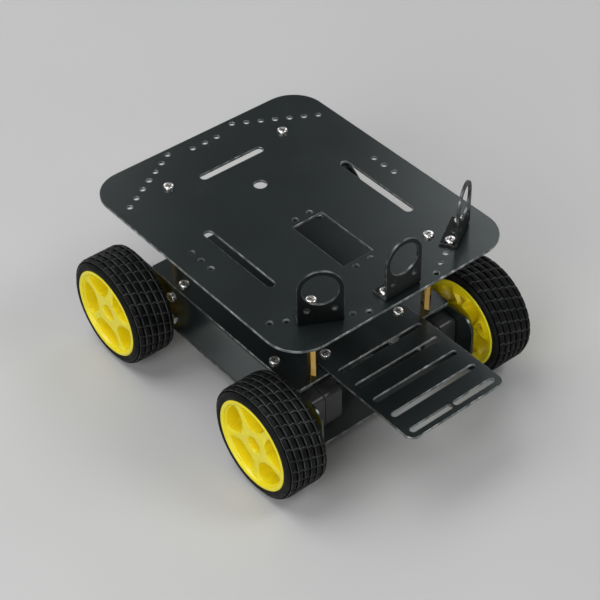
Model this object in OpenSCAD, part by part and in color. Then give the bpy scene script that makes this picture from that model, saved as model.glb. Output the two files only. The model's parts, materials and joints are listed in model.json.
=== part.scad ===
// Four wheel robot chassis: black sheet metal tray with four geared motors, a raised top
// plate on brass standoffs, a slotted sensor plate at the front and three ring brackets.
// Millimetres. +X is forward, +Y is left, +Z is up. The wheels stand on z = 0, and the
// origin is at the middle of the whole object's footprint.

/* [Wheels] */
// Distance between the front and rear axles
wheel_base = 133; // [130:1:136]
// Outside diameter of a tyre
tyre_d = 65; // [64:0.5:66]
// Width of a tyre
tyre_w = 26; // [24:0.5:27]
// Distance between the outer faces of the left and right tyres
track_outer = 171; // [170:0.5:174]
// Radius of the rim, where the tyre's bead ends
rim_r = 26.4; // [25:0.2:27.5]
// Number of spokes in a rim
spokes = 5; // [4:1:6]

/* [Tray] */
// Thickness of every metal sheet
sheet = 1.5; // [1.5:0.1:1.6]
// Height of the base plate's underside above the ground
ground_clearance = 15; // [14:0.5:16]
// Height of a side plate, over its flanges
side_h = 32.5; // [32.5:0.1:33.5]
// Length of a side plate's web
side_l = 170; // [166:1:172]
// Distance between the outer faces of the two side plates
tray_w = 107; // [106.5:0.5:108]
// Width of a side plate's flanges
flange_w = 10.5; // [9:0.5:10.5]
// Length of the deck plate and of the side plates' flanges
deck_l = 130.6; // [130:0.2:133]
// Length of the base plate
base_l = 155; // [150:1:160]

/* [Top plate] */
// Length of the top plate
top_l = 180; // [178:1:190]
// Width of the top plate
top_w = 149; // [147:1:152]
// Corner radius of the top plate
top_corner = 20; // [16:1:22]
// Height of a standoff
standoff_h = 50; // [40:1:55]
// Width across a standoff's flats
standoff_af = 5; // [5:0.1:5.5]
// Spacing of the holes in the sensor lines
hole_pitch = 8.3; // [8:0.1:8.5]
// Angle of the slanting hole lines to the long axis
line_angle = 59.5; // [58:0.5:61]
// Length of the servo opening
servo_l = 41.4; // [41:0.1:42.5]
// Width of the servo opening
servo_w = 20; // [19.5:0.1:20.5]

/* [Sensor plate and brackets] */
// Reach of the sensor plate ahead of the tray's middle
sensor_reach = 130; // [126:1:134]
// Width of the sensor plate
sensor_w = 65.4; // [64:0.2:68]
// Spacing of the sensor plate's slots
slot_pitch = 13.85; // [13:0.05:14]
// Diameter of a bracket's ring hole, for an 18 mm threaded sensor
ring_d = 18.6; // [18.2:0.1:19]
// Width of a bracket
bracket_w = 23.5; // [23:0.1:24.5]
// Height of a ring's centre above the top plate
ring_h = 21.6; // [20:0.1:24]

/* [Motors] */
// Length of a gearbox
gearbox_l = 55; // [54:0.5:56]
// Height of a gearbox
gearbox_h = 22.5; // [22:0.1:22.5]
// Width of a gearbox, across its two shells
gearbox_w = 23; // [22.5:0.1:23.5]
// Distance from the axle to the gearbox's end face
gearbox_nose = 6; // [6:0.1:6.5]
// Length of a motor outside its gearbox
motor_reach = 16; // [14:0.5:17]

/* [Hidden] */
$fn = 64;

// Sides of the tray, as signs along X and Y
FRONT = 1;
REAR = -1;
LEFT = 1;
RIGHT = -1;

// M3 fasteners
screw_r = 1.5;
hole_r = 1.6;
head_r = 3;
head_h = 1.8;
nut_af = 5.5;
nut_h = 2.4;
nut_bore_r = 1.55;

// Heights of the stacked plates
axle_z = tyre_d / 2;
side_z = ground_clearance + sheet;
deck_z = side_z + side_h;
deck_top = deck_z + sheet;
top_z = deck_top + standoff_h;
top_face = top_z + sheet;

// Places along X, from the tray's middle
axle_x = wheel_base / 2;
standoff_x = 61;
side_screw_x = 40.3;
sensor_screw_x = 54.5;
sensor_back = 49;
slot_x0 = 69.4;
servo_x = 30.3;
servo_hole_x = 24.75;
center_line_x = 81.2;
sensor_line_x = 73;
cross_slot_x = 56;
side_slot_x0 = -14.8;
side_slot_x1 = 37.3;
cable_hole_x = -30.6;

// Places along Y
standoff_y = 39.6;
side_screw_y = tray_w / 2 - 5;
sensor_screw_y = 25.6;
sensor_line_y = 44;
servo_hole_y = 4.9;
side_line_y = 62.5;
side_slot_y = 46.8;
cross_slot_half = 18.8;
web_outer = tray_w / 2;
web_inner = web_outer - sheet;
wheel_inner = track_outer / 2 - tyre_w;

// Sheet metal bends
bend_in = 0.4;
bend_out = bend_in + sheet;
bracket_face = 4.75;
bracket_foot = 10;
bracket_hole_v = 7;
bracket_hole_z = 9.4;

// Slots
slot_w = 5;
sensor_slot_w = 3.3;
sensor_slot_half = 27;
deck_slot_x = 40;
deck_slot_half = 7;
base_slot_x = 44;
base_slot_half = 16;

// Geared motor, measured outward from the centreline along the axle
gearbox_in = web_inner - gearbox_w;
gearbox_mid = web_inner - gearbox_w / 2;
gearbox_wall = 1.5;
post_x = -20.3;
post_y = 8.2;
post_r = 3;
boss_r = 4.2;
shaft_r = 2.7;
shaft_flat = 1.85;
bearing_gap = 0.05;
collar_r = 3.9;
collar_w = 5;
collar_gap = 0.1;
can_r = 10.05;
can_flat = 7.55;
can_x = gearbox_nose - gearbox_l + gearbox_wall + can_r + 0.15;
can_end = gearbox_mid - 2.5;
cap_l = 4;
cap_shrink = 0.3;
motor_end = gearbox_in - motor_reach;
terminal_l = 2.5;

// Wheel
hub_r = 5.5;
hub_back = 4;
hub_front = 24;
hub_ring_r = 10.3;
well_r = 4.7;
well_floor = 15;
hub_bore = 12;
shaft_into_hub = 11.5;
rim_wall = 2.2;
rim_web_z = 1;
rim_web_t = 2.6;
rib_w = 4.6;
window_in = 12.3;
window_out = 19;
groove_d = 1.6;
groove_w = 1.4;
tyre_shoulder = 4;

// Battery holder
cell_r = 7.3;
cell_l = 52;
holder_l = 31;
holder_w = 58;
holder_h = 27;
holder_tab = 8;
holder_tab_t = 2;

// The whole object runs from the rear tyres to the sensor plate
chassis_x = -(sensor_reach - (axle_x + tyre_d / 2)) / 2;

black = "#1b1d1f";
plastic = "#26282a";

// ---- shared shapes ----

// Flat plate with round corners, centred on X and Y
module rounded_plate(l, w, r, t) {
    translate([-l / 2, r - w / 2, 0]) cube([l, w - 2 * r, t]);
    translate([r - l / 2, -w / 2, 0]) cube([l - 2 * r, w, t]);
    for (sx = [-1, 1], sy = [-1, 1])
        translate([sx * (l / 2 - r), sy * (w / 2 - r), 0]) cylinder(r = r, h = t);
}

// Round hole through a plate that lies on z = 0
module hole_cut(r, t = sheet) {
    translate([0, 0, -1]) cylinder(r = r, h = t + 2);
}

// Slot along X through a plate, between end centres x0 and x1
module slot_cut(x0, x1, w, t = sheet) {
    translate([x0, -w / 2, -1]) cube([x1 - x0, w, t + 2]);
    for (x = [x0, x1]) translate([x, 0, 0]) hole_cut(w / 2, t);
}

// Pan head screw, its head standing on z = 0 and its shank below
module pan_screw(l) {
    difference() {
        rotate_extrude() polygon([
            [0, 0], [head_r, 0],
            for (a = [0 : 15 : 75])
                [head_r - 1.2 + 1.2 * cos(a), 0.8 + (head_h - 0.8) * sin(a)],
            [head_r - 1.6, head_h], [0, head_h]
        ]);
        for (a = [0, 90]) rotate(a)
            translate([-1.6, -0.35, head_h - 1.1]) cube([3.2, 0.7, 2]);
    }
    translate([0, 0, -l]) cylinder(r = screw_r, h = l);
}

// Hexagon nut standing on z = 0, with two flats square to Y
module nut() {
    difference() {
        cylinder(d = nut_af / cos(30), h = nut_h, $fn = 6);
        hole_cut(nut_bore_r, nut_h);
    }
}

// Puts its children in all four corners, mirrored about both middle planes
module four(x, y) {
    for (sx = [-1, 1], sy = [-1, 1])
        translate([chassis_x + sx * x, sy * y, 0]) children();
}

// Mirrors a part drawn for the front left corner to another corner
module corner(end, side) {
    translate([chassis_x, 0, 0])
        mirror([end < 0 ? 1 : 0, 0, 0]) mirror([0, side < 0 ? 1 : 0, 0]) children();
}

// Turns z into the distance outward along the front left axle
module on_axle() {
    translate([axle_x, 0, axle_z]) rotate([-90, 0, 0]) children();
}

// Hole k of a slanting line, counted from its outermost hole
function line_hole(k) = [
    sensor_line_x + (k - 3) * hole_pitch * cos(line_angle),
    sensor_line_y - (k - 3) * hole_pitch * sin(line_angle)
];

// ---- plates ----

module top_plate() {
    color(black) translate([chassis_x, 0, top_z]) difference() {
        rounded_plate(top_l, top_w, top_corner, sheet);
        for (sx = [-1, 1], sy = [-1, 1]) {
            translate([sx * standoff_x, sy * standoff_y, 0]) hole_cut(hole_r);
            for (k = [0 : 6])
                translate([sx * line_hole(k)[0], sy * line_hole(k)[1], 0]) hole_cut(hole_r);
        }
        for (s = [-1, 1], k = [-1 : 1]) {
            translate([s * center_line_x, k * hole_pitch, 0]) hole_cut(hole_r);
            translate([k * hole_pitch, s * side_line_y, 0]) hole_cut(hole_r);
        }
        for (s = [-1, 1]) {
            translate([0, s * side_slot_y, 0]) slot_cut(side_slot_x0, side_slot_x1, slot_w);
            for (y = [-1, 1])
                translate([servo_x + s * servo_hole_x, y * servo_hole_y, 0]) hole_cut(hole_r);
        }
        translate([-cross_slot_x, 0, 0]) rotate(90)
            slot_cut(-cross_slot_half, cross_slot_half, slot_w);
        translate([cable_hole_x, 0, 0]) hole_cut(3.65);
        translate([servo_x - servo_l / 2, -servo_w / 2, -1]) cube([servo_l, servo_w, sheet + 2]);
    }
}

module deck_plate() {
    color(black) translate([chassis_x, 0, deck_z]) difference() {
        rounded_plate(deck_l, tray_w, 2, sheet);
        for (sx = [-1, 1], sy = [-1, 1]) {
            translate([sx * standoff_x, sy * standoff_y, 0]) hole_cut(hole_r);
            translate([sx * side_screw_x, sy * side_screw_y, 0]) hole_cut(hole_r);
        }
        for (s = [-1, 1]) {
            translate([sensor_screw_x, s * sensor_screw_y, 0]) hole_cut(hole_r);
            translate([s * deck_slot_x, 0, 0]) rotate(90)
                slot_cut(-deck_slot_half, deck_slot_half, slot_w);
        }
    }
}

module base_plate() {
    color(black) translate([chassis_x, 0, ground_clearance]) difference() {
        rounded_plate(base_l, tray_w, 3, sheet);
        for (sx = [-1, 1], sy = [-1, 1])
            translate([sx * side_screw_x, sy * side_screw_y, 0]) hole_cut(hole_r);
        for (s = [-1, 1]) {
            translate([0, s * (holder_w / 2 + holder_tab / 2), 0]) hole_cut(hole_r);
            translate([s * base_slot_x, 0, 0]) rotate(90)
                slot_cut(-base_slot_half, base_slot_half, slot_w);
        }
    }
}

// C section of the left side plate: the outer face is y = 0, and it stands on z = 0
module channel_section() {
    for (m = [0, 1]) translate([0, m * side_h]) mirror([0, m]) {
        translate([bend_out, 0]) square([flange_w - bend_out, sheet]);
        difference() {
            translate([bend_out, bend_out]) circle(r = bend_out);
            translate([bend_out, bend_out]) circle(r = bend_in);
            translate([bend_out, -1]) square([bend_out + 1, 2 * bend_out + 2]);
            translate([-1, bend_out]) square([2 * bend_out + 2, bend_out + 1]);
        }
    }
    translate([0, bend_out]) square([sheet, side_h - 2 * bend_out]);
}

// One end of the web, ahead of the flanges, with round corners
module web_end() {
    end_l = (side_l - deck_l) / 2;
    corner_r = 9;
    translate([deck_l / 2, 0, 0]) {
        cube([end_l - corner_r, sheet, side_h]);
        translate([0, 0, corner_r]) cube([end_l, sheet, side_h - 2 * corner_r]);
        for (z = [corner_r, side_h - corner_r])
            translate([end_l - corner_r, 0, z]) rotate([-90, 0, 0])
                cylinder(r = corner_r, h = sheet);
    }
}

module side_plate(side) {
    color(black) corner(FRONT, side) difference() {
        translate([0, web_outer, side_z]) {
            translate([-deck_l / 2, 0, 0]) rotate([90, 0, 90]) linear_extrude(deck_l)
                mirror([1, 0]) channel_section();
            translate([0, -sheet, 0]) web_end();
            mirror([1, 0, 0]) translate([0, -sheet, 0]) web_end();
        }
        for (sx = [-1, 1]) {
            translate([sx * side_screw_x, side_screw_y, side_z]) hole_cut(hole_r, side_h);
            translate([sx * axle_x, web_inner, axle_z]) rotate([-90, 0, 0]) {
                hole_cut(hub_r);
                for (y = [-1, 1])
                    translate([sx * post_x, y * post_y, 0]) hole_cut(hole_r);
            }
        }
    }
}

module sensor_plate() {
    length = sensor_reach - sensor_back;
    color(black) translate([chassis_x, 0, deck_top]) difference() {
        translate([sensor_back + length / 2, 0, 0]) rounded_plate(length, sensor_w, 5, sheet);
        for (s = [-1, 1])
            translate([sensor_screw_x, s * sensor_screw_y, 0]) hole_cut(hole_r);
        for (k = [0 : 3]) translate([slot_x0 + k * slot_pitch, 0, 0]) rotate(90)
            slot_cut(-sensor_slot_half, sensor_slot_half, sensor_slot_w);
        for (s = [-1, 1]) translate([slot_x0 + 4 * slot_pitch, 0, 0]) rotate(90 * s)
            slot_cut(2.5, sensor_slot_half, sensor_slot_w);
    }
}

// Ring bracket facing +X, its foot's middle hole over the origin and its foot on z = 0
module sensor_bracket() {
    back = bracket_face - bracket_foot;
    color(black) difference() {
        union() {
            translate([back, -bracket_w / 2, 0])
                cube([bracket_foot - bend_out, bracket_w, sheet]);
            translate([bracket_face - bend_out, bracket_w / 2, bend_out]) rotate([90, 0, 0])
                linear_extrude(bracket_w) difference() {
                    circle(r = bend_out);
                    circle(r = bend_in);
                    translate([-2 * bend_out, -2 * bend_out])
                        square([2 * bend_out, 4 * bend_out]);
                    translate([-1, 0]) square([2 * bend_out, 2 * bend_out]);
                }
            translate([bracket_face - sheet, -bracket_w / 2, bend_out])
                cube([sheet, bracket_w, ring_h - bend_out]);
            translate([bracket_face - sheet, 0, ring_h]) rotate([0, 90, 0])
                cylinder(d = bracket_w, h = sheet);
        }
        for (k = [-1 : 1]) translate([0, k * hole_pitch, 0]) hole_cut(hole_r);
        translate([bracket_face - sheet, 0, 0]) rotate([0, 90, 0]) {
            translate([-ring_h, 0, 0]) hole_cut(ring_d / 2);
            for (s = [-1, 1])
                translate([-bracket_hole_z, s * bracket_hole_v, 0]) hole_cut(1.5);
        }
    }
}

// Puts its children at a bracket's middle hole, facing the way that the bracket faces
module at_bracket(side) {
    k = side == LEFT ? 2 : 3;
    place = side == 0 ? [center_line_x, 0] : [line_hole(k)[0], side * line_hole(k)[1]];
    translate([chassis_x + place[0], place[1], top_face])
        rotate(side * (90 - line_angle)) children();
}

// ---- standoffs and fasteners ----

module standoffs() {
    color("#b8924a") four(standoff_x, standoff_y) translate([0, 0, deck_top])
        difference() {
            cylinder(d = standoff_af / cos(30), h = standoff_h, $fn = 6);
            for (z = [0, standoff_h - 8]) translate([0, 0, z])
                translate([0, 0, z > 0 ? 0 : -1]) cylinder(r = nut_bore_r, h = 9);
        }
}

module top_plate_screws() {
    color("silver") four(standoff_x, standoff_y) translate([0, 0, top_face]) pan_screw(6);
}

module standoff_screws() {
    color("silver") four(standoff_x, standoff_y)
        translate([0, 0, deck_z]) mirror([0, 0, 1]) pan_screw(6);
}

module deck_screws() {
    color("silver") four(side_screw_x, side_screw_y) translate([0, 0, deck_top]) pan_screw(6);
}

module base_screws() {
    color("silver") four(side_screw_x, side_screw_y)
        translate([0, 0, ground_clearance]) mirror([0, 0, 1]) pan_screw(6);
}

module side_plate_nuts() {
    color("silver") four(side_screw_x, side_screw_y) {
        translate([0, 0, deck_z - sheet - nut_h]) nut();
        translate([0, 0, side_z + sheet]) nut();
    }
}

// The two places where the sensor plate is screwed to the deck
module sensor_screw_places() {
    for (s = [-1, 1]) translate([chassis_x + sensor_screw_x, s * sensor_screw_y, 0]) children();
}

module sensor_plate_screws() {
    color("silver") sensor_screw_places() translate([0, 0, deck_top + sheet]) pan_screw(7);
}

module sensor_plate_nuts() {
    color("silver") sensor_screw_places() translate([0, 0, deck_z - nut_h]) nut();
}

module bracket_screws() {
    color("silver") for (side = [LEFT, 0, RIGHT], k = [-1, 1])
        at_bracket(side) translate([0, k * hole_pitch, sheet]) pan_screw(6);
}

module bracket_nuts() {
    color("silver") for (side = [LEFT, 0, RIGHT], k = [-1, 1])
        at_bracket(side) translate([0, k * hole_pitch, -sheet - nut_h]) nut();
}

// The eight places where a motor is screwed to its side plate
module motor_screw_places() {
    for (end = [FRONT, REAR], side = [LEFT, RIGHT], y = [-1, 1])
        corner(end, side) on_axle() translate([post_x, y * post_y, 0]) children();
}

module motor_screws() {
    color("silver") motor_screw_places() translate([0, 0, web_outer]) pan_screw(28);
}

module motor_nuts() {
    color("silver") motor_screw_places() translate([0, 0, gearbox_in - nut_h]) nut();
}

// ---- geared motors, drawn in the on_axle frame ----

// One hollow half of the gearbox, its open side on z = 0
module gearbox_half() {
    middle = gearbox_nose - gearbox_l / 2;
    depth = gearbox_w / 2;
    difference() {
        union() {
            difference() {
                translate([middle, 0, 0]) rounded_plate(gearbox_l, gearbox_h, 3, depth);
                translate([middle, 0, -1]) rounded_plate(gearbox_l - 2 * gearbox_wall,
                    gearbox_h - 2 * gearbox_wall, 1.6, depth + 1 - gearbox_wall);
            }
            translate([0, 0, collar_w / 2 + collar_gap])
                cylinder(r = boss_r, h = depth - collar_w / 2 - collar_gap);
            for (y = [-1, 1]) translate([post_x, y * post_y, 0])
                cylinder(r = post_r, h = depth - gearbox_wall / 2);
        }
        hole_cut(shaft_r + bearing_gap, depth);
        for (y = [-1, 1]) translate([post_x, y * post_y, 0]) hole_cut(hole_r, depth);
    }
}

// Outline of the motor, round with two flats
module can_outline(grow = 0) {
    intersection() {
        circle(r = can_r + grow);
        square([2 * can_r + 2, 2 * (can_flat + grow)], center = true);
    }
}

module gearbox_outer(end, side) {
    color(plastic) corner(end, side) on_axle() translate([0, 0, gearbox_mid]) gearbox_half();
}

module gearbox_inner(end, side) {
    color(plastic) corner(end, side) on_axle() difference() {
        translate([0, 0, gearbox_mid]) mirror([0, 0, 1]) gearbox_half();
        translate([can_x, 0, gearbox_in - 1]) linear_extrude(gearbox_wall + 2)
            can_outline(0.05);
    }
}

module motor_can(end, side) {
    color("silver") corner(end, side) on_axle() translate([can_x, 0, 0]) {
        translate([0, 0, motor_end + cap_l])
            linear_extrude(can_end - motor_end - cap_l) can_outline();
        translate([0, 0, can_end]) cylinder(r = 3, h = 1.5);
        translate([0, 0, can_end + 1.5]) cylinder(r = 1, h = 7);
    }
}

module motor_end_cap(end, side) {
    color("white") corner(end, side) on_axle() translate([can_x, 0, motor_end])
        difference() {
            linear_extrude(cap_l) can_outline(-cap_shrink);
            translate([0, 0, -1]) cylinder(r = 2, h = 2);
        }
}

module motor_terminals() {
    color("#c9a15a") for (end = [FRONT, REAR], side = [LEFT, RIGHT], s = [-1, 1])
        corner(end, side) on_axle() translate([can_x + s * 6, 0, motor_end - terminal_l])
            difference() {
                translate([-0.25, -1.4, 0]) cube([0.5, 2.8, terminal_l]);
                translate([-1, 0, 1.1]) rotate([0, 90, 0]) cylinder(r = 0.5, h = 2);
            }
}

// Round shaft with a thrust collar between the two shells and two flats in the wheel's hub
module output_shaft(end, side) {
    color("gainsboro") corner(end, side) on_axle() {
        translate([0, 0, gearbox_in + 1])
            cylinder(r = shaft_r, h = wheel_inner - hub_back - gearbox_in - 1);
        translate([0, 0, gearbox_mid - collar_w / 2]) cylinder(r = collar_r, h = collar_w);
        translate([0, 0, wheel_inner - hub_back]) linear_extrude(shaft_into_hub)
            intersection() {
                circle(r = shaft_r);
                square([2 * shaft_flat, 3 * shaft_r], center = true);
            }
    }
}

// ---- wheels ----

// Three-sided window in the web between two spokes, wider towards the rim
module window() {
    half = 180 / spokes;
    polygon([
        for (a = [-0.04 * half, 0.04 * half]) window_in * [cos(a), sin(a)],
        for (a = [0.3 : -0.15 : -0.3]) window_out * [cos(a * half), sin(a * half)]
    ]);
}

module rim(end, side) {
    edge = 0.5;
    color("gold") corner(end, side) on_axle() translate([0, 0, wheel_inner]) difference() {
        union() {
            rotate_extrude() polygon([
                [rim_r - rim_wall, 0], [rim_r - edge, 0], [rim_r, edge],
                [rim_r, tyre_w - edge], [rim_r - edge, tyre_w], [rim_r - rim_wall, tyre_w]
            ]);
            translate([0, 0, rim_web_z]) cylinder(r = rim_r - rim_wall / 2, h = rim_web_t);
            translate([0, 0, -hub_back]) cylinder(r = hub_r, h = rim_web_z + hub_back + 1);
            translate([0, 0, rim_web_z]) cylinder(r = hub_ring_r, h = hub_front - rim_web_z);
            for (k = [0 : spokes - 1]) rotate((k + 0.5) * 360 / spokes)
                translate([hub_ring_r - 1, -rib_w / 2, rim_web_z + 1])
                    cube([rim_r - rim_wall - hub_ring_r + 1.5, rib_w, tyre_w - rim_web_z - 3.2]);
        }
        for (k = [0 : spokes - 1]) rotate(k * 360 / spokes)
            translate([0, 0, rim_web_z - 1]) linear_extrude(rim_web_t + 2) window();
        translate([0, 0, -hub_back - 1]) linear_extrude(hub_bore + 1) intersection() {
            circle(r = shaft_r + 0.02);
            square([2 * shaft_flat + 0.04, 3 * shaft_r], center = true);
        }
        translate([0, 0, hub_bore]) cylinder(r = 2.4, h = tyre_w);
        translate([0, 0, well_floor]) cylinder(r = well_r, h = tyre_w);
    }
}

// Tyre with round shoulders and grooves round its tread
module tyre(end, side) {
    r = tyre_d / 2;
    color("#161616") corner(end, side) on_axle() translate([0, 0, wheel_inner])
        difference() {
            rotate_extrude() polygon([
                [rim_r, 0],
                for (a = [-90 : 18 : 0])
                    [r - tyre_shoulder + tyre_shoulder * cos(a),
                     tyre_shoulder + tyre_shoulder * sin(a)],
                for (a = [0 : 18 : 90])
                    [r - tyre_shoulder + tyre_shoulder * cos(a),
                     tyre_w - tyre_shoulder + tyre_shoulder * sin(a)],
                [rim_r, tyre_w]
            ]);
            for (k = [-1 : 1]) translate([0, 0, tyre_w / 2 + k * 5.4 - groove_w / 2])
                difference() {
                    cylinder(r = r + 1, h = groove_w);
                    translate([0, 0, -1]) cylinder(r = r - groove_d, h = groove_w + 2);
                }
        }
}

// ---- battery holder ----

// Block for four cells, two in its top and two in its underside
module battery_holder() {
    color(plastic) translate([chassis_x, 0, side_z]) difference() {
        union() {
            translate([-holder_l / 2, -holder_w / 2, 0]) cube([holder_l, holder_w, holder_h]);
            translate([-5, -holder_w / 2 - holder_tab, 0])
                cube([10, holder_w + 2 * holder_tab, holder_tab_t]);
        }
        for (sx = [-1, 1], z = [0, holder_h])
            translate([sx * cell_r, cell_l / 2, z == 0 ? 5.5 : holder_h - 5.5])
                rotate([90, 0, 0]) cylinder(r = cell_r - 0.3, h = cell_l);
        for (z = [-1, holder_h - 5.5])
            translate([-2 * cell_r + 0.3, -cell_l / 2, z]) cube([4 * cell_r - 0.6, cell_l, 6.5]);
        for (s = [-1, 1]) translate([0, s * (holder_w + holder_tab) / 2, 0])
            hole_cut(hole_r, holder_tab_t);
    }
}

// Spring plates at both ends of each cell
module battery_contacts() {
    color("silver") translate([chassis_x, 0, side_z])
        for (sx = [-1, 1], sy = [-1, 1], z = [5.5, holder_h - 5.5])
            translate([sx * cell_r, sy * (cell_l / 2 - 0.25), z]) rotate([90, 0, 0])
                translate([0, 0, -0.25]) cylinder(r = 4.5, h = 0.5);
}

module battery_holder_screws() {
    color("silver") for (s = [-1, 1])
        translate([chassis_x, s * (holder_w + holder_tab) / 2, ground_clearance])
            mirror([0, 0, 1]) pan_screw(7);
}

module battery_holder_nuts() {
    color("silver") for (s = [-1, 1])
        translate([chassis_x, s * (holder_w + holder_tab) / 2, side_z + holder_tab_t]) nut();
}

// ---- assembly ----

top_plate();
deck_plate();
base_plate();
side_plate(LEFT);  // side_plate_left
side_plate(RIGHT);  // side_plate_right
sensor_plate();
at_bracket(LEFT) sensor_bracket();  // sensor_bracket_left
at_bracket(0) sensor_bracket();  // sensor_bracket_center
at_bracket(RIGHT) sensor_bracket();  // sensor_bracket_right
standoffs();
gearbox_outer(FRONT, LEFT);  // gearbox_outer_front_left
gearbox_outer(FRONT, RIGHT);  // gearbox_outer_front_right
gearbox_outer(REAR, LEFT);  // gearbox_outer_rear_left
gearbox_outer(REAR, RIGHT);  // gearbox_outer_rear_right
gearbox_inner(FRONT, LEFT);  // gearbox_inner_front_left
gearbox_inner(FRONT, RIGHT);  // gearbox_inner_front_right
gearbox_inner(REAR, LEFT);  // gearbox_inner_rear_left
gearbox_inner(REAR, RIGHT);  // gearbox_inner_rear_right
motor_can(FRONT, LEFT);  // motor_can_front_left
motor_can(FRONT, RIGHT);  // motor_can_front_right
motor_can(REAR, LEFT);  // motor_can_rear_left
motor_can(REAR, RIGHT);  // motor_can_rear_right
motor_end_cap(FRONT, LEFT);  // motor_end_cap_front_left
motor_end_cap(FRONT, RIGHT);  // motor_end_cap_front_right
motor_end_cap(REAR, LEFT);  // motor_end_cap_rear_left
motor_end_cap(REAR, RIGHT);  // motor_end_cap_rear_right
motor_terminals();
output_shaft(FRONT, LEFT);  // output_shaft_front_left
output_shaft(FRONT, RIGHT);  // output_shaft_front_right
output_shaft(REAR, LEFT);  // output_shaft_rear_left
output_shaft(REAR, RIGHT);  // output_shaft_rear_right
rim(FRONT, LEFT);  // rim_front_left
rim(FRONT, RIGHT);  // rim_front_right
rim(REAR, LEFT);  // rim_rear_left
rim(REAR, RIGHT);  // rim_rear_right
tyre(FRONT, LEFT);  // tyre_front_left
tyre(FRONT, RIGHT);  // tyre_front_right
tyre(REAR, LEFT);  // tyre_rear_left
tyre(REAR, RIGHT);  // tyre_rear_right
battery_holder();
battery_contacts();
top_plate_screws();
standoff_screws();
deck_screws();
base_screws();
side_plate_nuts();
sensor_plate_screws();
sensor_plate_nuts();
bracket_screws();
bracket_nuts();
motor_screws();
motor_nuts();
battery_holder_screws();
battery_holder_nuts();
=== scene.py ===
import json
import math

import bmesh
import bpy
from mathutils import Matrix, Vector


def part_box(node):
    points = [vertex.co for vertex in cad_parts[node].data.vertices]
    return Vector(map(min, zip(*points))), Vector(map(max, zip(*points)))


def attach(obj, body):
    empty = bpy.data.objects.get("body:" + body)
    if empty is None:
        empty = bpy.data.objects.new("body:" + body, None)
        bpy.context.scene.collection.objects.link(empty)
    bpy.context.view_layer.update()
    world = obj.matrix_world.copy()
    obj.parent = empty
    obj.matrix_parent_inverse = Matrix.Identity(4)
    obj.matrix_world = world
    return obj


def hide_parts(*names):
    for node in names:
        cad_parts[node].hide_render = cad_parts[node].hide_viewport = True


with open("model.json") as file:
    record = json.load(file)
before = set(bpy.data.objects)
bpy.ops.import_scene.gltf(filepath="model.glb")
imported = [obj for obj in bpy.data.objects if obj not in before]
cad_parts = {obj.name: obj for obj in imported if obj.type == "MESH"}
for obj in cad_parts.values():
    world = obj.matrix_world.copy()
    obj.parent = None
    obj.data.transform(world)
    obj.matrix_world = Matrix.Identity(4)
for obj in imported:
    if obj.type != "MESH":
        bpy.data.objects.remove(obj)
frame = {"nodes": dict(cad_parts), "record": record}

# Looks of a four wheel robot chassis: glossy black sheet metal with thin bright edges, brass
# standoffs, nickel screws, satin black gearboxes, yellow rims and rubber tyres with a block
# tread. Shapes are drawn in millimetres and stored in metres, in the row frame.

MM = 0.001
CORNERS = [f"{end}_{side}" for end in ("front", "rear") for side in ("left", "right")]
SLOT_OF = {s["node"]: s["material_slot"] for s in frame["record"]["subparts"]}
BODY_OF = {n: b for b, nodes in frame["record"]["behaviour"]["bodies"].items() for n in nodes}
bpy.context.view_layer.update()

# Thickness of the sheet metal
top_low, top_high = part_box("top_plate")
SHEET = (top_high.z - top_low.z) / MM


# ---- materials ----

# Most of a noise's values lie between these two
NOISE_LOW = 0.3
NOISE_HIGH = 0.7


def new_material(name, color, roughness, metallic=0.0):
    """Principled material with a mapping node that gives the object's own place in millimetres."""
    mat = bpy.data.materials.new(name)
    mat.use_nodes = True
    nodes, links = mat.node_tree.nodes, mat.node_tree.links
    shader = nodes["Principled BSDF"]
    shader.inputs["Base Color"].default_value = (*color, 1)
    shader.inputs["Roughness"].default_value = roughness
    shader.inputs["Metallic"].default_value = metallic
    place = nodes.new("ShaderNodeTexCoord")
    scale = nodes.new("ShaderNodeMapping")
    scale.name = "millimetres"
    scale.inputs["Scale"].default_value = (1 / MM, 1 / MM, 1 / MM)
    links.new(place.outputs["Object"], scale.inputs["Vector"])
    return mat


def noise(mat, size, stretch=(1, 1, 1), detail=3.0):
    """Noise whose features are about size millimetres across, longer along a small stretch."""
    nodes, links = mat.node_tree.nodes, mat.node_tree.links
    squeeze = nodes.new("ShaderNodeVectorMath")
    squeeze.operation = "MULTIPLY"
    squeeze.inputs[1].default_value = stretch
    texture = nodes.new("ShaderNodeTexNoise")
    texture.inputs["Scale"].default_value = 1 / size
    texture.inputs["Detail"].default_value = detail
    links.new(nodes["millimetres"].outputs["Vector"], squeeze.inputs[0])
    links.new(squeeze.outputs["Vector"], texture.inputs["Vector"])
    return texture.outputs["Fac"]


def ramp(mat, value, stops):
    """Colour ramp over value; stops are (place, colour) pairs."""
    node = mat.node_tree.nodes.new("ShaderNodeValToRGB")
    points = node.color_ramp.elements
    for point, (place, color) in zip(points, (stops[0], stops[-1])):
        point.position = place
        point.color = (*color, 1)
    for place, color in stops[1:-1]:
        points.new(place).color = (*color, 1)
    mat.node_tree.links.new(value, node.inputs["Fac"])
    return node.outputs["Color"]


def two_tone(dark, light, start=NOISE_LOW):
    """Stops that go from the dark colour to the light one over a noise's values."""
    return [(start, dark), (NOISE_HIGH, light)]


def vary_color(mat, value, stops):
    """Base colour from the stops by value."""
    shader = mat.node_tree.nodes["Principled BSDF"]
    mat.node_tree.links.new(ramp(mat, value, stops), shader.inputs["Base Color"])


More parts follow.
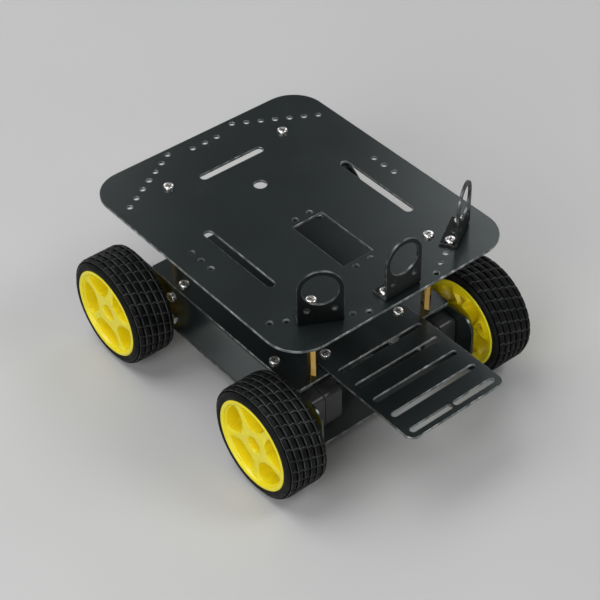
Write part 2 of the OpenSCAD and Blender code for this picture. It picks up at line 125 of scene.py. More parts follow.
def vary_roughness(mat, value, low, high):
    """Roughness from low to high as value goes over the middle of its range."""
    nodes, links = mat.node_tree.nodes, mat.node_tree.links
    spread = nodes.new("ShaderNodeMapRange")
    spread.inputs["From Min"].default_value = NOISE_LOW
    spread.inputs["From Max"].default_value = NOISE_HIGH
    spread.inputs["To Min"].default_value = low
    spread.inputs["To Max"].default_value = high
    links.new(value, spread.inputs["Value"])
    links.new(spread.outputs["Result"], nodes["Principled BSDF"].inputs["Roughness"])


def add_bump(mat, value, height):
    """Relief of the given height in millimetres from value."""
    nodes, links = mat.node_tree.nodes, mat.node_tree.links
    bump = nodes.new("ShaderNodeBump")
    bump.inputs["Distance"].default_value = height * MM
    links.new(value, bump.inputs["Height"])
    links.new(bump.outputs["Normal"], nodes["Principled BSDF"].inputs["Normal"])


def black_coat(name, gloss, low, high, dark=(0.0068, 0.0088, 0.0093),
               light=(0.009, 0.0118, 0.0115)):
    """Thin semi-gloss black coat on sheet metal, with a trace of orange peel and faint smudges."""
    mat = new_material(name, light, low)
    shader = mat.node_tree.nodes["Principled BSDF"]
    shader.inputs["Specular IOR Level"].default_value = gloss
    shader.inputs["Specular Tint"].default_value = (0.88, 1.0, 0.99, 1)
    vary_color(mat, noise(mat, 30), two_tone(dark, light))
    vary_roughness(mat, noise(mat, 22), low, high)
    add_bump(mat, noise(mat, 1.1, detail=2.0), 0.0006)
    return mat


def worn_edge_and_highlight(name, worn_low, worn_high, bright=1.0):
    """Cut edge where the black coat is thin and lets the bright metal through in places, and
    painted lighter as a painted highlight for the bright lines the edges catch; bright scales these
    colours.
    """
    mat = new_material(name, (0.14, 0.15, 0.15), 0.3, 0.7)
    wear_and_highlight = noise(mat, 3.5, detail=4.0)
    # Painted highlight as well as wear: the light steps stand for edges catching the light
    steps = [(0.35, (0.07, 0.08, 0.08)), (0.55, (0.2, 0.215, 0.21)), (0.72, (0.5, 0.52, 0.5))]
    vary_color(mat, wear_and_highlight, [(at, [bright * part for part in color]) for at, color in steps])
    vary_roughness(mat, wear_and_highlight, worn_low, worn_high)
    return mat


def turned_brass():
    """Bright brass with fine turning lines."""
    mat = new_material("turned_brass", (0.8, 0.52, 0.16), 0.2, 1.0)
    vary_color(mat, noise(mat, 6), two_tone((0.7, 0.42, 0.11), (0.84, 0.56, 0.19)))
    vary_roughness(mat, noise(mat, 2.5, detail=4.0), 0.08, 0.15)
    add_bump(mat, noise(mat, 0.5, stretch=(0.2, 0.2, 2)), 0.001)
    return mat


def nickel(name, low, high, dark=(0.72, 0.7, 0.67), light=(0.92, 0.9, 0.87)):
    """Nickel plating with faint marks from handling."""
    mat = new_material(name, light, low, 1.0)
    vary_color(mat, noise(mat, 2), two_tone(dark, light))
    vary_roughness(mat, noise(mat, 0.8, detail=4.0), low, high)
    return mat


def brushed_steel():
    """Drawn steel with fine lines along the motor."""
    mat = new_material("brushed_steel", (0.55, 0.55, 0.53), 0.3, 1.0)
    lines = noise(mat, 0.6, stretch=(1, 0.06, 1), detail=4.0)
    vary_color(mat, lines, two_tone((0.46, 0.46, 0.44), (0.62, 0.62, 0.6)))
    vary_roughness(mat, lines, 0.24, 0.4)
    add_bump(mat, lines, 0.008)
    return mat


def moulded(name, dark, light, low, high, grain=0.5, relief=0.012):
    """Moulded plastic: slight colour drift, uneven gloss and a fine moulded grain."""
    mat = new_material(name, light, high)
    vary_color(mat, noise(mat, 12), two_tone(dark, light))
    vary_roughness(mat, noise(mat, 5, detail=4.0), low, high)
    add_bump(mat, noise(mat, grain, detail=2.0), relief)
    return mat


def yellow_plastic(name, dark, light):
    """Glossy yellow moulding that lets a little light into its surface."""
    mat = moulded(name, dark, light, 0.26, 0.38, 3.0, 0.015)
    shader = mat.node_tree.nodes["Principled BSDF"]
    shader.inputs["Subsurface Weight"].default_value = 0.2
    shader.inputs["Subsurface Radius"].default_value = (1.0, 0.75, 0.06)
    shader.inputs["Subsurface Scale"].default_value = 3 * MM
    return mat


def rubber(name, dark, light, low, high):
    """Black rubber with a dusty bloom and a fine grain."""
    mat = new_material(name, light, high)
    mat.node_tree.nodes["Principled BSDF"].inputs["Specular IOR Level"].default_value = 0.11
    vary_color(mat, noise(mat, 7, detail=5.0), two_tone(dark, light, 0.35))
    vary_roughness(mat, noise(mat, 3, detail=4.0), low, high)
    add_bump(mat, noise(mat, 0.35), 0.012)
    return mat


def pale_floor():
    """Matt pale grey with a faint drift."""
    mat = new_material("pale_floor", (0.5, 0.5, 0.495), 0.6)
    vary_color(mat, noise(mat, 400), two_tone((0.48, 0.48, 0.475), (0.51, 0.51, 0.505)))
    return mat


# Name, gloss, lowest and highest roughness, and for some the darkest and the lightest colour
flat_black = black_coat("black_coat", 0.65, 0.245, 0.275)
side_black = black_coat("side_coat", 1.1, 0.22, 0.27)
# Painted shade: the brackets' coat and cut edges are darker copies of the sheets' coat and edges,
# for faces that turn away from the top light
shaded_bracket_black = black_coat("shaded_bracket_coat", 0.14, 0.32, 0.42, (0.003, 0.0036, 0.0037),
                           (0.0045, 0.0054, 0.0054))
# Painted light: the base plate's coat is a much lighter copy of the black coat, for the strip in
# front of the gearboxes where the front lights fall
lit_base_black = black_coat("lit_base_coat", 0.5, 0.36, 0.46, (0.055, 0.058, 0.059), (0.072, 0.075, 0.076))
edge = worn_edge_and_highlight("worn_edge_and_highlight", 0.38, 0.24)
shaded_bracket_edge = worn_edge_and_highlight("shaded_bracket_edge", 0.45, 0.32, 0.4)
# Painted shade: a dark copy of the nickel for the screws' cross recesses
recess_shade_nickel = nickel("recess_shade_nickel", 0.4, 0.6, (0.03, 0.03, 0.028), (0.09, 0.088, 0.083))
# Painted bounce light: a more golden yellow for the rim's pockets, well and barrel
yellow_bounce_tint = yellow_plastic("yellow_bounce_tint", (0.85, 0.66, 0.004), (0.9, 0.75, 0.008))
# Painted highlight: a paler rubber for the tread's shallow grooves and outward block edges
rubber_highlight = rubber("rubber_highlight", (0.026, 0.028, 0.027), (0.08, 0.083, 0.081), 0.36, 0.52)
MATERIALS = {
    "black_sheet": flat_black,
    "brass": turned_brass(),
    "gearbox_plastic": moulded("gearbox_plastic", (0.024, 0.026, 0.025), (0.036, 0.038, 0.036),
                               0.32, 0.46),
    "motor_steel": brushed_steel(),
    "end_cap_plastic": moulded("end_cap_plastic", (0.6, 0.58, 0.52), (0.72, 0.71, 0.66),
                               0.4, 0.55),
    "terminal_brass": turned_brass(),
    "shaft_plastic": moulded("shaft_plastic", (0.68, 0.66, 0.58), (0.78, 0.76, 0.7), 0.3, 0.45),
    "rim_plastic": yellow_plastic("yellow_plastic", (0.78, 0.65, 0.007), (0.84, 0.74, 0.018)),
    "tyre_rubber": rubber("rubber", (0.0035, 0.0037, 0.0039), (0.009, 0.0094, 0.0093), 0.42, 0.6),
    "holder_plastic": moulded("holder_plastic", (0.02, 0.02, 0.021), (0.03, 0.03, 0.032),
                              0.35, 0.5),
    "contact_metal": nickel("contact_nickel", 0.16, 0.3),
    "screw_steel": nickel("screw_nickel", 0.2, 0.34),
}


# ---- pieces made from CAD nodes ----

# Lengths in millimetres this close count as equal
CLOSE = 0.02
# Sides of a cross recess's floor
CROSS_SIDES = 12
# Points this close become one, and faces this nearly level with each other, in degrees, too
MERGE_DISTANCE = 0.002
FLAT_ANGLE = 0.6
# Edges sharper than this many degrees are rounded
SHARP_ANGLE = 32
# Width of the rounding on sheet metal and on screws
SHEET_ROUNDING = 0.24
SCREW_ROUNDING = 0.1
# Width and steps of the rounding on the pieces of the other slots
ROUNDING = {
    "brass": (0.3, 2),
    "gearbox_plastic": (0.8, 4),
    "motor_steel": (0.6, 3),
    "end_cap_plastic": (0.4, 2),
    "holder_plastic": (0.35, 2),
}


def finish_piece(piece, node):
    """Hides the node that a piece stands for and gives the piece the node's body."""
    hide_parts(node)
    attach(piece, BODY_OF[node])
    return piece


def is_cut(mesh, face):
    """Whether a face is part of a cut through the sheet: two of its sides cross the sheet."""
    places = [mesh.vertices[v].co for v in face.vertices]
    lengths = [(a - b).length / MM for a, b in zip(places, places[1:] + places[:1])]
    return sum(abs(length - SHEET) < CLOSE for length in lengths) >= 2


def recess_faces(mesh):
    """Faces of the screws' cross recesses, the floors and the walls round them, which get a painted
    shade.
    """
    floors = [face for face in mesh.polygons if len(face.vertices) == CROSS_SIDES]
    floor_edges = {edge_key for face in floors for edge_key in face.edge_keys}
    walls = [face for face in mesh.polygons
             if len(face.vertices) == 4 and floor_edges.intersection(face.edge_keys)]
    return floors + walls


def softened(node, width, segments=2, edge_material=None):
    """Copy of a node's shape with its sharp edges rounded, as a real part has them."""
    shape = bmesh.new()
    shape.from_mesh(frame["nodes"][node].data)
    bmesh.ops.remove_doubles(shape, verts=shape.verts, dist=MERGE_DISTANCE * MM)
    bmesh.ops.dissolve_limit(shape, angle_limit=math.radians(FLAT_ANGLE), verts=shape.verts,
                             edges=shape.edges)
    mesh = bpy.data.meshes.new(node + "_finished")
    shape.to_mesh(mesh)
    shape.free()
    if "custom_normal" in mesh.attributes:
        mesh.attributes.remove(mesh.attributes["custom_normal"])
    mesh.materials.clear()
    mesh.materials.append(MATERIALS[SLOT_OF[node]])
    if edge_material:
        mesh.materials.append(edge_material)
    for face in mesh.polygons:
        face.material_index = int(edge_material is not None and is_cut(mesh, face))
        face.use_smooth = True
    piece = bpy.data.objects.new(node + "_finished", mesh)
    bpy.context.scene.collection.objects.link(piece)
    bevel = piece.modifiers.new("rounded_edges", "BEVEL")
    bevel.width = width * MM
    bevel.segments = segments
    bevel.limit_method = "ANGLE"
    bevel.angle_limit = math.radians(SHARP_ANGLE)
    bevel.use_clamp_overlap = False
    bevel.harden_normals = True
    if edge_material:
        bevel.material = 1
    return finish_piece(piece, node)


def nodes_of(slot):
    """Names of the CAD nodes in a material slot."""
    return [n for n in SLOT_OF if SLOT_OF[n] == slot]


# ---- wheels ----

# Faces that meet at more than this many degrees show an edge between them
CREASE_ANGLE = 40
# Lengths smaller than this count as nothing
TINY = 1e-6


def ring_surface(name, rings, skip=None, joins=()):
    """Closed surface through rings of points in millimetres, the last ring joined to the first.
    skip(i, j) leaves out the face after ring i and point j, and joins adds faces of its own."""
    count = len(rings[0])
    shape = bmesh.new()
    verts = [[shape.verts.new(Vector(p) * MM) for p in ring] for ring in rings]
    for i in range(len(rings)):
        after = verts[(i + 1) % len(rings)]
        for j in range(count):
            if skip and skip(i, j):
                continue
            k = (j + 1) % count
            shape.faces.new((verts[i][j], verts[i][k], after[k], after[j]))
    for (i, j), (i2, j2), (i3, j3), (i4, j4) in joins:
        shape.faces.new((verts[i][j % count], verts[i2][j2 % count],
                         verts[i3][j3 % count], verts[i4][j4 % count]))
    bmesh.ops.recalc_face_normals(shape, faces=shape.faces)
    mesh = bpy.data.meshes.new(name)
    shape.to_mesh(mesh)
    shape.free()
    for face in mesh.polygons:
        face.use_smooth = True
    mesh.set_sharp_from_angle(angle=math.radians(CREASE_ANGLE))
    return mesh


def smooth(t):
    """Eased step from 0 to 1 as t goes from 0 to 1."""
    t = min(1, max(0, t))
    return t * t * (3 - 2 * t)


tyre_low, tyre_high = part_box("tyre_front_left")
TYRE_R = (tyre_high.z - tyre_low.z) / 2 / MM
TYRE_W = (tyre_high.y - tyre_low.y) / MM
rim_low, rim_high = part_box("rim_front_left")
RIM_R = (rim_high.z - rim_low.z) / 2 / MM

# Tread: rows of blocks between deep slots, and shallow grooves across that step from row to row
BLOCKS = 30
ROWS = 6
ROW_PITCH = 4.1
# Turn from one row to the next, as a share of a block
ROW_STEP = 0.22
# Half widths and depths of the slots round the tyre and of the grooves across
ROW_GAP = 0.5
ROW_DEPTH = 1.5
BLOCK_GAP = 0.26
BLOCK_DEPTH = 0.4
# Width of a groove's sloping wall, and width and height of the rounding above it
DRAFT = 0.16
ROUND = 0.3
ROUND_DROP = ROUND * 0.7
# Extra lines along a block, as shares of its length
BLOCK_MIDDLES = (0.35, 0.65)
# Radius of the shoulder, and the lines on it, counted from the outer rows' edges
SHOULDER = 4.0
SHOULDER_LINES = (0.7, 1.4, 2.1, 2.8, 3.4)
# The shoulder starts at this depth beside the outer rows, and rises to the full round after
SHOULDER_DEPTH = 0.45
SHOULDER_WALL = 0.8
SHOULDER_EVEN = 1.2
SHOULDER_RISE = 2.4
# Sidewall from the shoulder down to the bead, with a low ring: radius and depth
SIDEWALL = [(TYRE_R - 4.1, 0), (28.0, 0.12), (27.85, 0.02), (27.35, 0.02), (27.2, 0.16),
            (26.75, 0.2), (RIM_R + 0.05, 0.55)]
# Difference in depth that makes a face part of a slope
SLOPE = 0.05


def tread_point(s, angle, depth):
    """Point on the tyre, s millimetres across from its middle along the outer surface."""
    flat = TYRE_W / 2 - SHOULDER
    turn = min(math.pi / 2, max(0, abs(s) - flat) / SHOULDER)
    radius = TYRE_R - SHOULDER + (SHOULDER - depth) * math.cos(turn)
    across = min(abs(s), flat) + (SHOULDER - depth) * math.sin(turn)
    return (radius * math.cos(angle), radius * math.sin(angle),
            TYRE_W / 2 + math.copysign(across, s))


def depth_at(distance, full):
    """Depth below the block's top, distance millimetres inside the edge of a groove."""
    if distance <= 0:
        return full
    if distance < DRAFT:
        return full + (ROUND_DROP - full) * distance / DRAFT
    return max(0, ROUND_DROP * (1 - (distance - DRAFT) / ROUND))


def edge_lines(gap):
    """Distances from a groove's middle of the lines that the groove needs."""
    return (gap, gap + DRAFT, gap + DRAFT + ROUND * 0.5, gap + DRAFT + ROUND)


def tyre_mesh():
    """Tyre lying flat, its inner side at zero height."""
    half_rows = ROWS * ROW_PITCH / 2
    block_angle = 2 * math.pi / BLOCKS
    angles = sorted([k * block_angle + side * d / TYRE_R for k in range(BLOCKS)
                     for side in (-1, 1) for d in edge_lines(BLOCK_GAP)]
                    + [(k + part) * block_angle for k in range(BLOCKS) for part in BLOCK_MIDDLES])
    outer = half_rows - ROW_GAP
    lines = sorted(
        [(k + 1) * ROW_PITCH - half_rows + side * d for k in range(ROWS - 1) for side in (-1, 1)
         for d in edge_lines(ROW_GAP)]
        + [side * (outer - d) for side in (-1, 1) for d in (0, *edge_lines(0)[1:])]
        + [side * (outer + d) for side in (-1, 1) for d in SHOULDER_LINES]
    )

    def row_of(s):
        """Row of blocks that a place across the tread is in."""
        return min(ROWS - 1, max(0, int((s + half_rows) / ROW_PITCH)))

    def depth(s, angle):
        """Depth of the tread under the tyre's outer surface."""
        if abs(s) >= outer:
            run = abs(s) - outer
            down = smooth(run / SHOULDER_WALL)
            rise = smooth((run - SHOULDER_EVEN) / SHOULDER_RISE)
            return ROW_DEPTH * (1 - down) + SHOULDER_DEPTH * down * (1 - rise)
        middle = (row_of(s) + 0.5) * ROW_PITCH - half_rows
        across = ROW_PITCH / 2 - ROW_GAP - abs(s - middle)
        turn = angle / block_angle % 1
        along = min(turn, 1 - turn) * block_angle * TYRE_R - BLOCK_GAP
        if along < 100 * TINY:
            return BLOCK_DEPTH
        return max(depth_at(across + TINY, ROW_DEPTH), depth_at(along, BLOCK_DEPTH))

    depths = [[depth(s, a) for a in angles] for s in lines]
    rings = [[tread_point(s, a + ROW_STEP * row_of(s) * block_angle, d)
              for a, d in zip(angles, ring)] for s, ring in zip(lines, depths)]
    low_turn, high_turn = (ROW_STEP * row * block_angle for row in (0, ROWS - 1))
    top = [[(r * math.cos(a + high_turn), r * math.sin(a + high_turn), TYRE_W - z)
            for a in angles] for r, z in SIDEWALL]
    bottom = [[(r * math.cos(a + low_turn), r * math.sin(a + low_turn), z) for a in angles]
              for r, z in SIDEWALL]
    mesh = ring_surface("tyre_tread", rings + top + bottom[::-1])
    mesh.materials.append(MATERIALS["tyre_rubber"])
    mesh.materials.append(rubber_highlight)
    # Painted highlight: the grooves across and the blocks' edges that face outward get a paler
    # rubber for the light they catch
    for i, (ring, after) in enumerate(zip(depths, depths[1:])):
        for j in range(len(angles)):
            k = (j + 1) % len(angles)
            around = (ring[j], ring[k], after[j], after[k])
            shallow = max(around) < BLOCK_DEPTH + CLOSE and abs(lines[i]) < outer
            outward = after[j] - ring[j] > SLOPE and abs(ring[j] - ring[k]) < SLOPE
            if shallow and (outward or min(around) > BLOCK_DEPTH - CLOSE):
                mesh.polygons[i * len(angles) + j].material_index = 1
    return mesh


# Rim: a thin shell folded into five hollow spokes and five deep pockets, each with a window in
# its floor, inside a barrel. It is drawn lying flat, its outer side up.
SPOKES = 5
# Columns of points over half a spoke's top, down its wall and across half a pocket's floor
SPOKE_COLUMNS = 4
FLOOR_COLUMNS = 5
# The wall's profile, as shares of its run and of its drop
WALL_RUN = (0, 0.03, 0.1, 0.22, 0.45, 0.72, 1)
WALL_DROP = (0, 0.12, 0.42, 0.62, 0.8, 0.92, 1)
WALL_COLUMNS = len(WALL_RUN) - 1
# Heights over the wheel's inner side, and the shell's thickness
HUB_TOP = 24.2
SPOKE_TOP = 23.8
SPOKE_BACK = SPOKE_TOP - 2.2
POCKET_FLOOR = 3.2
DISC_BACK = 1.0
WALL = 1.3
# Half width of a spoke between the hub and the rim, and how much its sides round down
SPOKE_HALF_WIDTH = 2.25
SPOKE_CROWN = 0.35
# Bands of radii where the disc is folded and where its spokes are hollow: where the band starts,
# over how much it eases in, where it ends and over how much it eases out
FOLDED = (8.6, 1.2, 23.3, 0.4)
HOLLOW = (11.6, 1.2, 21.4, 1.4)
# Shares of a pocket's fall in the steep and in the gentle part of its ends
STEEP = 0.7
GENTLE = 0.3
# Least angle between a wall's top and its foot, in radians
LEAST_WALL = 0.02
# Hub on the back: its radius, its end, and the shaft's bore with two flats
HUB_R = 5.5
HUB_END = -4.0
BORE_R = 2.72
BORE_HALF_FLAT = 1.87
BORE_TOP = 12.0
# Well in the front of the hub, over the hole for a screw
WELL_R = 4.7
WELL_FLOOR = 15.0
SCREW_R = 2.4
# Radii where a window starts and ends, and half its width at both
WINDOW_IN = 12.4
WINDOW_OUT = 19.0
WINDOW_POINT = 0.35
WINDOW_HALF_WIDTH = 3.5
# Radii of the folded disc's rings; inside and outside of them the rings are plain circles
DISC_RADII = [8.6, 9.4, 10.0, 10.4, 10.65, 10.9, 11.2, 11.6, 12.0, WINDOW_IN, 13.2, 14.4, 15.6,
              16.8, 18.0, WINDOW_OUT, 19.8, 20.6, 21.4, 22.0, 22.3, 22.6, 22.9, 23.2, 23.5]
# Profiles of the plain parts: radius and height
WELL_PROFILE = [(SCREW_R, WELL_FLOOR - 0.3), (2.7, WELL_FLOOR), (WELL_R - 0.7, WELL_FLOOR),
                (WELL_R - 0.35, WELL_FLOOR + 0.35), (WELL_R, HUB_TOP - 0.5),
                (WELL_R + 0.15, HUB_TOP - 0.15), (WELL_R + 0.5, HUB_TOP), (7.0, HUB_TOP)]
LIP_PROFILE = [(23.8, SPOKE_TOP + 0.6), (23.95, SPOKE_TOP + 1.0), (24.15, TYRE_W - 0.6),
               (24.5, TYRE_W - 0.15), (25.0, TYRE_W), (25.7, TYRE_W), (26.1, TYRE_W - 0.12),
               (RIM_R, TYRE_W - 0.45)]
BARREL_PROFILE = [(RIM_R, 0.45), (26.1, 0.12), (25.7, 0), (24.7, 0), (24.3, 0.25),
                  (24.1, DISC_BACK - 0.2), (23.8, DISC_BACK - 0.05)]
HUB_PROFILE = [(6.1, DISC_BACK - 0.1), (HUB_R, DISC_BACK - 0.6), (HUB_R, HUB_END + 0.5),
               (5.0, HUB_END)]
# What lies this far under the spokes' tops and inside this radius gets the painted golden tint
TINT_TOP = SPOKE_TOP - 1.2
TINT_R = 24.4


def in_band(r, start, rise, end, fall):
    """1 inside a band of radii and 0 outside, with an eased change between."""
    return smooth((r - start) / rise) * (1 - smooth((r - end) / fall))


def spoke_half_width(r):
    """Half the width of a spoke's top, wider at the hub and at the rim."""
    hub_flare = 1.3 * math.exp(-(((r - 11.2) / 1.8) ** 2))
    rim_flare = 1.1 * smooth((r - 20) / 3.4)
    return SPOKE_HALF_WIDTH + hub_flare + rim_flare


def window_half_width(r):
    """Half the width of a window, which starts as a point towards the hub."""
    share = (r - WINDOW_IN) / (WINDOW_OUT - WINDOW_IN)
    return WINDOW_POINT + (WINDOW_HALF_WIDTH - WINDOW_POINT) * min(1, max(0, share))


# Columns round the disc: each has its spoke and its step away from the spoke's middle
HALF_COLUMNS = SPOKE_COLUMNS + WALL_COLUMNS + FLOOR_COLUMNS
COLUMNS = [(spoke, step) for spoke in range(SPOKES) for step in range(-HALF_COLUMNS, HALF_COLUMNS)]


def disc_angle(spoke, step, r, thickness):
    """Angle of a column at radius r; the back's columns lie a wall's thickness further in."""
    half = math.pi / SPOKES
    even = step / HALF_COLUMNS * half
    edge_at = math.asin(min(1, (spoke_half_width(r) - thickness) / r))
    floor_at = half - window_half_width(r) * FLOOR_COLUMNS / (FLOOR_COLUMNS - 1) / r
    floor_at = max(edge_at + LEAST_WALL, floor_at - thickness / r)
    n = abs(step)
    if n <= SPOKE_COLUMNS:
        follow = edge_at * n / SPOKE_COLUMNS
    elif n <= SPOKE_COLUMNS + WALL_COLUMNS:
        follow = edge_at + (floor_at - edge_at) * WALL_RUN[n - SPOKE_COLUMNS]
    else:
        share = (n - SPOKE_COLUMNS - WALL_COLUMNS) / FLOOR_COLUMNS
        follow = floor_at + (half - floor_at) * share
    folded = in_band(r, *FOLDED)
    return even + (math.copysign(follow, step) - even) * folded + spoke * 2 * half


def wall_fall(step):
    """Share of the way down from a spoke's top to the pocket's floor."""
    return WALL_DROP[min(WALL_COLUMNS, max(0, abs(step) - SPOKE_COLUMNS))]


def front_height(step, r):
    """Height of the disc's front at a column: spoke top, sloping wall or pocket floor."""
    # A spoke dips a little from the hub, rises to the rim and rounds down at its sides
    top = HUB_TOP + (SPOKE_TOP - HUB_TOP) * smooth((r - 11) / 4) + 0.4 * smooth((r - 21) / 2.4)
    top -= SPOKE_CROWN * min(1, abs(step) / SPOKE_COLUMNS) ** 3 * smooth((r - 10) / 2)
    # A pocket falls away steeply from the hub and from the rim, and then more gently
    hub_side = STEEP * smooth((r - 10.4) / 0.8) + GENTLE * smooth((r - 10.8) / 1.6)
    rim_side = (STEEP * smooth((23.2 - r) / 1.0)
                + GENTLE * smooth((22.4 - r) / (22.4 - WINDOW_OUT)))
    return top + (POCKET_FLOOR - top) * wall_fall(step) * hub_side * rim_side


def back_height(step, r):
    """Height of the disc's back: flat round the windows, hollow behind the spokes."""
    hollow = in_band(r, *HOLLOW)
    return DISC_BACK + (SPOKE_BACK - DISC_BACK) * (1 - wall_fall(step)) * hollow


def rim_mesh():
    """Rim and hub lying flat, the inner side at zero height, with the windows cut through."""
    even = [(spoke * 2 * HALF_COLUMNS + step) * math.pi / SPOKES / HALF_COLUMNS
            for spoke, step in COLUMNS]

    def plain_rings(profile):
        """Circles through a profile of radii and heights."""
        return [[(r * math.cos(a), r * math.sin(a), z) for a in even] for r, z in profile]

    def disc_ring(r, height, thickness):
        """Ring of the folded disc's front or back."""
        angles = [disc_angle(spoke, step, r, thickness) for spoke, step in COLUMNS]
        return [(r * math.cos(a), r * math.sin(a), height(step, r))
                for a, (spoke, step) in zip(angles, COLUMNS)]

    def bore_ring(z):
        """Ring of the bore, round with two flats."""
        across = [min(BORE_R, BORE_HALF_FLAT / max(abs(math.cos(a)), TINY)) for a in even]
        return [(r * math.cos(a), r * math.sin(a), z) for r, a in zip(across, even)]

    well = plain_rings(WELL_PROFILE)
    front = [disc_ring(r, front_height, 0) for r in DISC_RADII]
    outside = plain_rings(LIP_PROFILE + BARREL_PROFILE)
    back = [disc_ring(r, back_height, WALL) for r in reversed(DISC_RADII)]
    hub = plain_rings(HUB_PROFILE) + [bore_ring(HUB_END), bore_ring(BORE_TOP)]
    hub += plain_rings([(SCREW_R, BORE_TOP)])
    rings = well + front + outside + back + hub

    # The middle columns of each pocket's floor are left out between two radii, on both sides
    first = len(well)
    inner = first + DISC_RADII.index(WINDOW_IN)
    outer = first + DISC_RADII.index(WINDOW_OUT)
    last_back = len(rings) - len(hub) - 1
    solid = SPOKE_COLUMNS + WALL_COLUMNS + 1

    def behind(i):
        """Ring on the back that lies behind ring i of the front."""
        return last_back - (i - first)

    def is_window(j):
        """Whether the faces after column j are over a window's width."""
        step = j % (2 * HALF_COLUMNS) - HALF_COLUMNS
        return step >= solid or step < -solid

    def skip(i, j):
        return is_window(j) and (inner <= i < outer or behind(outer) <= i < behind(inner))

    joins = []
    for j in filter(is_window, range(len(COLUMNS))):
        joins += [((i, j), (i, j + 1), (behind(i), j + 1), (behind(i), j)) for i in (inner, outer)]
        for side, neighbour in ((j, j - 1), (j + 1, j + 1)):
            if not is_window(neighbour % len(COLUMNS)):
                joins += [((i, side), (i + 1, side), (behind(i + 1), side), (behind(i), side))
                          for i in range(inner, outer)]
    return ring_surface("rim_disc", rings, skip, joins)


def wheel_place(node, turn):
    """Matrix from a wheel's own frame, with Z outward along its axle, to the row frame."""
    low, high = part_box(node)
    outward = 1 if low.y > 0 else -1
    inner_y = low.y if outward > 0 else high.y
    middle = Vector(((low.x + high.x) / 2, inner_y, (low.z + high.z) / 2))
    axes = Matrix(((1, 0, 0), (0, 0, outward), (0, -outward, 0))).to_4x4()
    return Matrix.Translation(middle) @ axes @ Matrix.Rotation(math.radians(turn), 4, "Z")


# How far each wheel stands turned, in degrees
WHEEL_TURN = {"front_left": 16, "front_right": 55, "rear_left": 31, "rear_right": 4}


def wheels():
    """A tyre and a rim for each corner, turned as the wheel stands."""
    tread, disc = tyre_mesh(), rim_mesh()
    disc.materials.append(MATERIALS["rim_plastic"])
    disc.materials.append(yellow_bounce_tint)
    # Light that bounces about in the pockets, the well and the barrel takes up a golden tint
    for face in disc.polygons:
        middle = face.center / MM
        deep = middle.z < TINT_TOP and math.hypot(middle.x, middle.y) < TINT_R
        face.material_index = int(deep)
    for corner in CORNERS:
        for part, mesh in (("tyre", tread), ("rim", disc)):
            placed = mesh.copy()
            placed.transform(wheel_place(f"tyre_{corner}", WHEEL_TURN[corner]))
            piece = bpy.data.objects.new(f"{part}_{corner}_finished", placed)
            bpy.context.scene.collection.objects.link(piece)
            finish_piece(piece, f"{part}_{corner}")


# ---- all the pieces ----

for node in nodes_of("black_sheet"):
    if node.startswith("side_plate"):
        coat, cut = side_black, None
    elif node.startswith("sensor_bracket"):
        coat, cut = shaded_bracket_black, shaded_bracket_edge
    elif node == "base_plate":
        coat, cut = lit_base_black, edge
    else:
        coat, cut = flat_black, edge
    softened(node, SHEET_ROUNDING, edge_material=cut).data.materials[0] = coat
for slot, (width, segments) in ROUNDING.items():
    for node in nodes_of(slot):
        softened(node, width, segments)
for node in nodes_of("screw_steel"):
    mesh = softened(node, SCREW_ROUNDING).data
    mesh.materials.append(recess_shade_nickel)
    for face in recess_faces(mesh):
        face.material_index = 1
# These keep the CAD's own shape
for slot in ("terminal_brass", "shaft_plastic", "contact_metal"):
    for node in nodes_of(slot):
        frame["nodes"][node].data.materials.clear()
        frame["nodes"][node].data.materials.append(MATERIALS[slot])
wheels()


# ---- floor, light and camera ----

FLOOR_HALF = 8.0
# What the lights face
AIM = Vector((0, 0, 0.06))
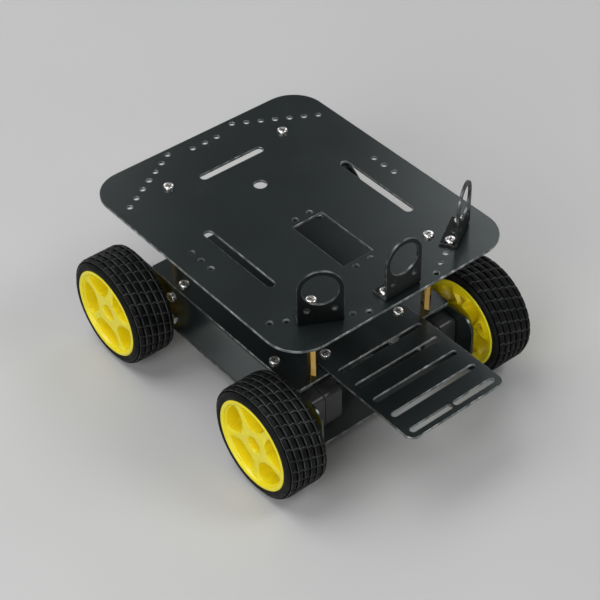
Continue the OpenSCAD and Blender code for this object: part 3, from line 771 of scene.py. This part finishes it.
# Place, side and power of each square light
SOFTBOXES = {
    "back_light": ((-0.62, 1.25, 0.82), 0.8, 4),
    "rear_light": ((-1.45, 0.35, 0.75), 0.6, 2.5),
    "top_light": ((-0.5, -0.42, 1.5), 1.0, 14),
    "side_light": ((0.55, -1.25, 0.85), 0.8, 12),
    "front_light": ((0.8, 0.8, 1.45), 0.6, 8),
    "low_light": ((1.35, -0.5, 0.45), 0.5, 3),
}
WORLD_COLOR = (0.9, 0.95, 1.0, 1)
WORLD_STRENGTH = 0.12
FOCAL_LENGTH = 98.44
SENSOR_WIDTH = 36
CLIP_END = 50
CAMERA_PLACE = (0.52408, -0.42066, 0.64622)
CAMERA_RIGHT = Vector((0.63048, 0.77591, -0.02122))
CAMERA_UP = Vector((-0.50545, 0.43115, 0.74741))


def floor():
    """Plain floor under the wheels."""
    mesh = bpy.data.meshes.new("floor")
    corners = [(x * FLOOR_HALF, y * FLOOR_HALF, 0) for x, y in ((-1, -1), (1, -1), (1, 1), (-1, 1))]
    mesh.from_pydata(corners, [], [(0, 1, 2, 3)])
    mesh.materials.append(pale_floor())
    plane = bpy.data.objects.new("floor", mesh)
    bpy.context.scene.collection.objects.link(plane)


def softbox(name, place, size, power):
    """Square soft light that faces the chassis."""
    lamp = bpy.data.lights.new(name, "AREA")
    lamp.size = size
    lamp.energy = power
    holder = bpy.data.objects.new(name, lamp)
    bpy.context.scene.collection.objects.link(holder)
    holder.location = place
    holder.rotation_mode = "QUATERNION"
    holder.rotation_quaternion = (AIM - Vector(place)).to_track_quat("-Z", "Y")


def studio():
    """Faint light from all round and the soft lights."""
    world = bpy.data.worlds.new("studio")
    world.use_nodes = True
    background = world.node_tree.nodes["Background"]
    background.inputs["Color"].default_value = WORLD_COLOR
    background.inputs["Strength"].default_value = WORLD_STRENGTH
    bpy.context.scene.world = world
    for name, (place, size, power) in SOFTBOXES.items():
        softbox(name, place, size, power)
    bpy.context.scene.view_settings.view_transform = "Standard"


def camera():
    """Camera in front of the chassis, to its right and above it."""
    lens = bpy.data.cameras.new("camera")
    lens.lens = FOCAL_LENGTH
    lens.sensor_width = SENSOR_WIDTH
    lens.clip_end = CLIP_END
    holder = bpy.data.objects.new("camera", lens)
    bpy.context.scene.collection.objects.link(holder)
    axes = Matrix((CAMERA_RIGHT, CAMERA_UP, CAMERA_RIGHT.cross(CAMERA_UP))).transposed()
    holder.matrix_world = Matrix.Translation(CAMERA_PLACE) @ axes.to_4x4()
    bpy.context.scene.camera = holder


floor()
studio()
camera()
